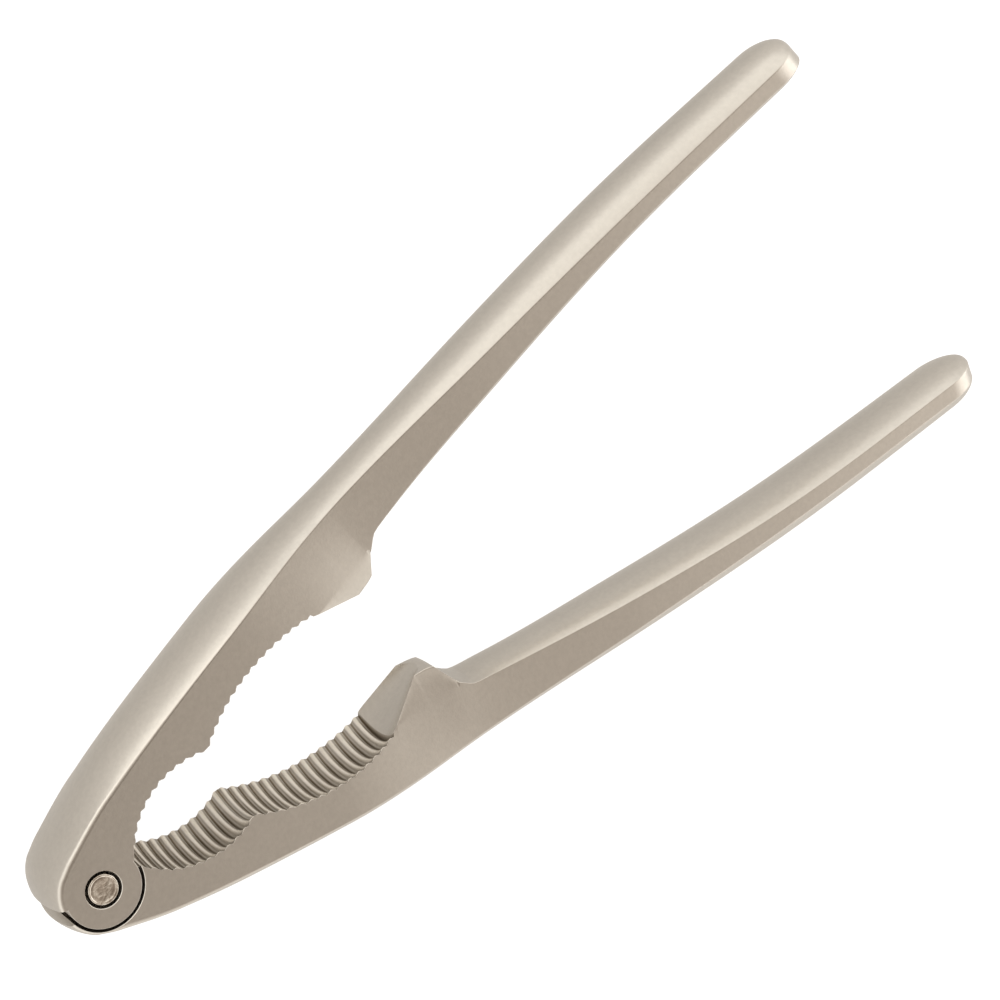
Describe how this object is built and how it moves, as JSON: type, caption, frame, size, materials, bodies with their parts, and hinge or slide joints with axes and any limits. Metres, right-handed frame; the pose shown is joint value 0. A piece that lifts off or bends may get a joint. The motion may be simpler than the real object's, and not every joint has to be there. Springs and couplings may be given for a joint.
{
  "type": "nutcracker",
  "caption": "Lever nutcracker with crowned cast handles, ridged small and large jaw hollows and a half-lapped rivet knuckle.",
  "frame": {"origin": "on the rivet pin's axis, at its lower end face, which lies in the plane of the arms' lower flat sides", "axes": "+X runs from the rivet out between the handles, halving the opening; +Y towards the upper arm; +Z along the rivet, up from the surface the tool lies on"},
  "size_m": [0.176, 0.073, 0.015],
  "materials": {
    "upper_nickel": "satin nickel plate over fine blasting",
    "lower_nickel": "satin nickel plate over fine blasting",
    "pin_steel": "bright peened rivet end"
  },
  "bodies": {
    "lower_lever": {"lower_arm": "lower_nickel", "rivet_pin": "pin_steel"},
    "upper_lever": {"upper_arm": "upper_nickel"}
  },
  "joints": [
    {"name": "knuckle_hinge", "type": "hinge", "parent": "lower_lever", "child": "upper_lever", "pos_m": [0, 0, 0.0075], "axis": [0, 0, 1], "range_deg": [-16, 23]}
  ]
}
